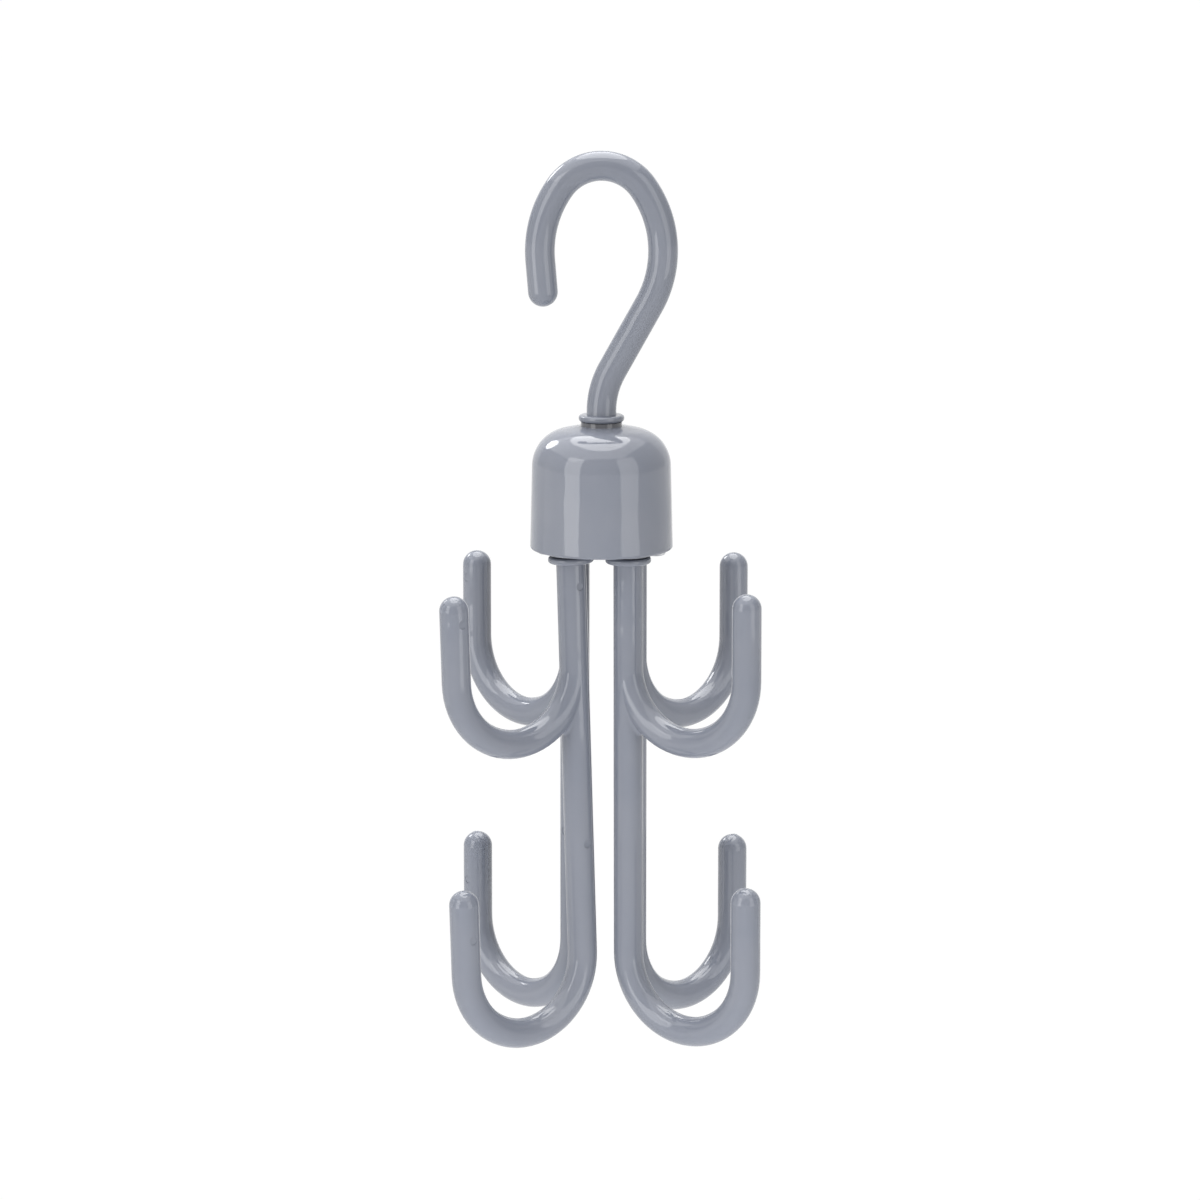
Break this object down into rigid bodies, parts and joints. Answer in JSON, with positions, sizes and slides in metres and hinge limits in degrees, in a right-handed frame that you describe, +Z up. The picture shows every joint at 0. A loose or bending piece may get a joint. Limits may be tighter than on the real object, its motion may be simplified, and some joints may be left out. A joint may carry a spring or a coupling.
{
  "type": "tie hanger",
  "caption": "Swivelling tie hanger: a question-mark hook carries a bell-shaped dome, under which one-piece claws with upper and lower J hooks turn on their stems.",
  "frame": {"origin": "rail seat: the point on the swivel axis where a rail bears on the inner side of the top hook's crown", "axes": "+Z up along the swivel axis; the top hook lies in the XZ plane with its tip towards -X; the picture's front is -Y"},
  "size_m": [0.0834, 0.0717, 0.2354],
  "materials": {
    "grey_plastic": "glossy moulded, grey-blue",
    "zinc_steel": "bright zinc plate"
  },
  "bodies": {
    "hook": {"top_hook": "grey_plastic", "top_hook_washer": "zinc_steel", "top_hook_screw": "zinc_steel"},
    "dome": {"dome_cap": "grey_plastic", "base_plate": "grey_plastic", "plate_screw_left": "zinc_steel", "plate_screw_right": "zinc_steel"},
    "front_left_claw": {"claw_front_left": "grey_plastic", "claw_washer_front_left": "zinc_steel", "claw_screw_front_left": "zinc_steel"},
    "front_right_claw": {"claw_front_right": "grey_plastic", "claw_washer_front_right": "zinc_steel", "claw_screw_front_right": "zinc_steel"},
    "back_right_claw": {"claw_back_right": "grey_plastic", "claw_washer_back_right": "zinc_steel", "claw_screw_back_right": "zinc_steel"},
    "back_left_claw": {"claw_back_left": "grey_plastic", "claw_washer_back_left": "zinc_steel", "claw_screw_back_left": "zinc_steel"}
  },
  "joints": [
    {"name": "dome_swivel", "type": "hinge", "parent": "hook", "child": "dome", "pos_m": [0, 0, -0.064], "axis": [0, 0, 1], "continuous": true},
    {"name": "front_left_swing", "type": "hinge", "parent": "dome", "child": "front_left_claw", "pos_m": [-0.00816, -0.007, -0.09312], "axis": [-0.0279, 0, 0.9996], "range_deg": [-40.3, 49.7]},
    {"name": "front_right_swing", "type": "hinge", "parent": "dome", "child": "front_right_claw", "pos_m": [0.007, -0.00816, -0.09312], "axis": [-0.0017, -0.0087, 1], "range_deg": [-58.9, 31.1]},
    {"name": "back_right_swing", "type": "hinge", "parent": "dome", "child": "back_right_claw", "pos_m": [0.00816, 0.007, -0.09312], "axis": [0, 0.0087, 1], "range_deg": [-46.8, 43.2]},
    {"name": "back_left_swing", "type": "hinge", "parent": "dome", "child": "back_left_claw", "pos_m": [-0.007, 0.00816, -0.09312], "axis": [0.0017, 0.0035, 1], "range_deg": [-49.9, 40.1]}
  ]
}
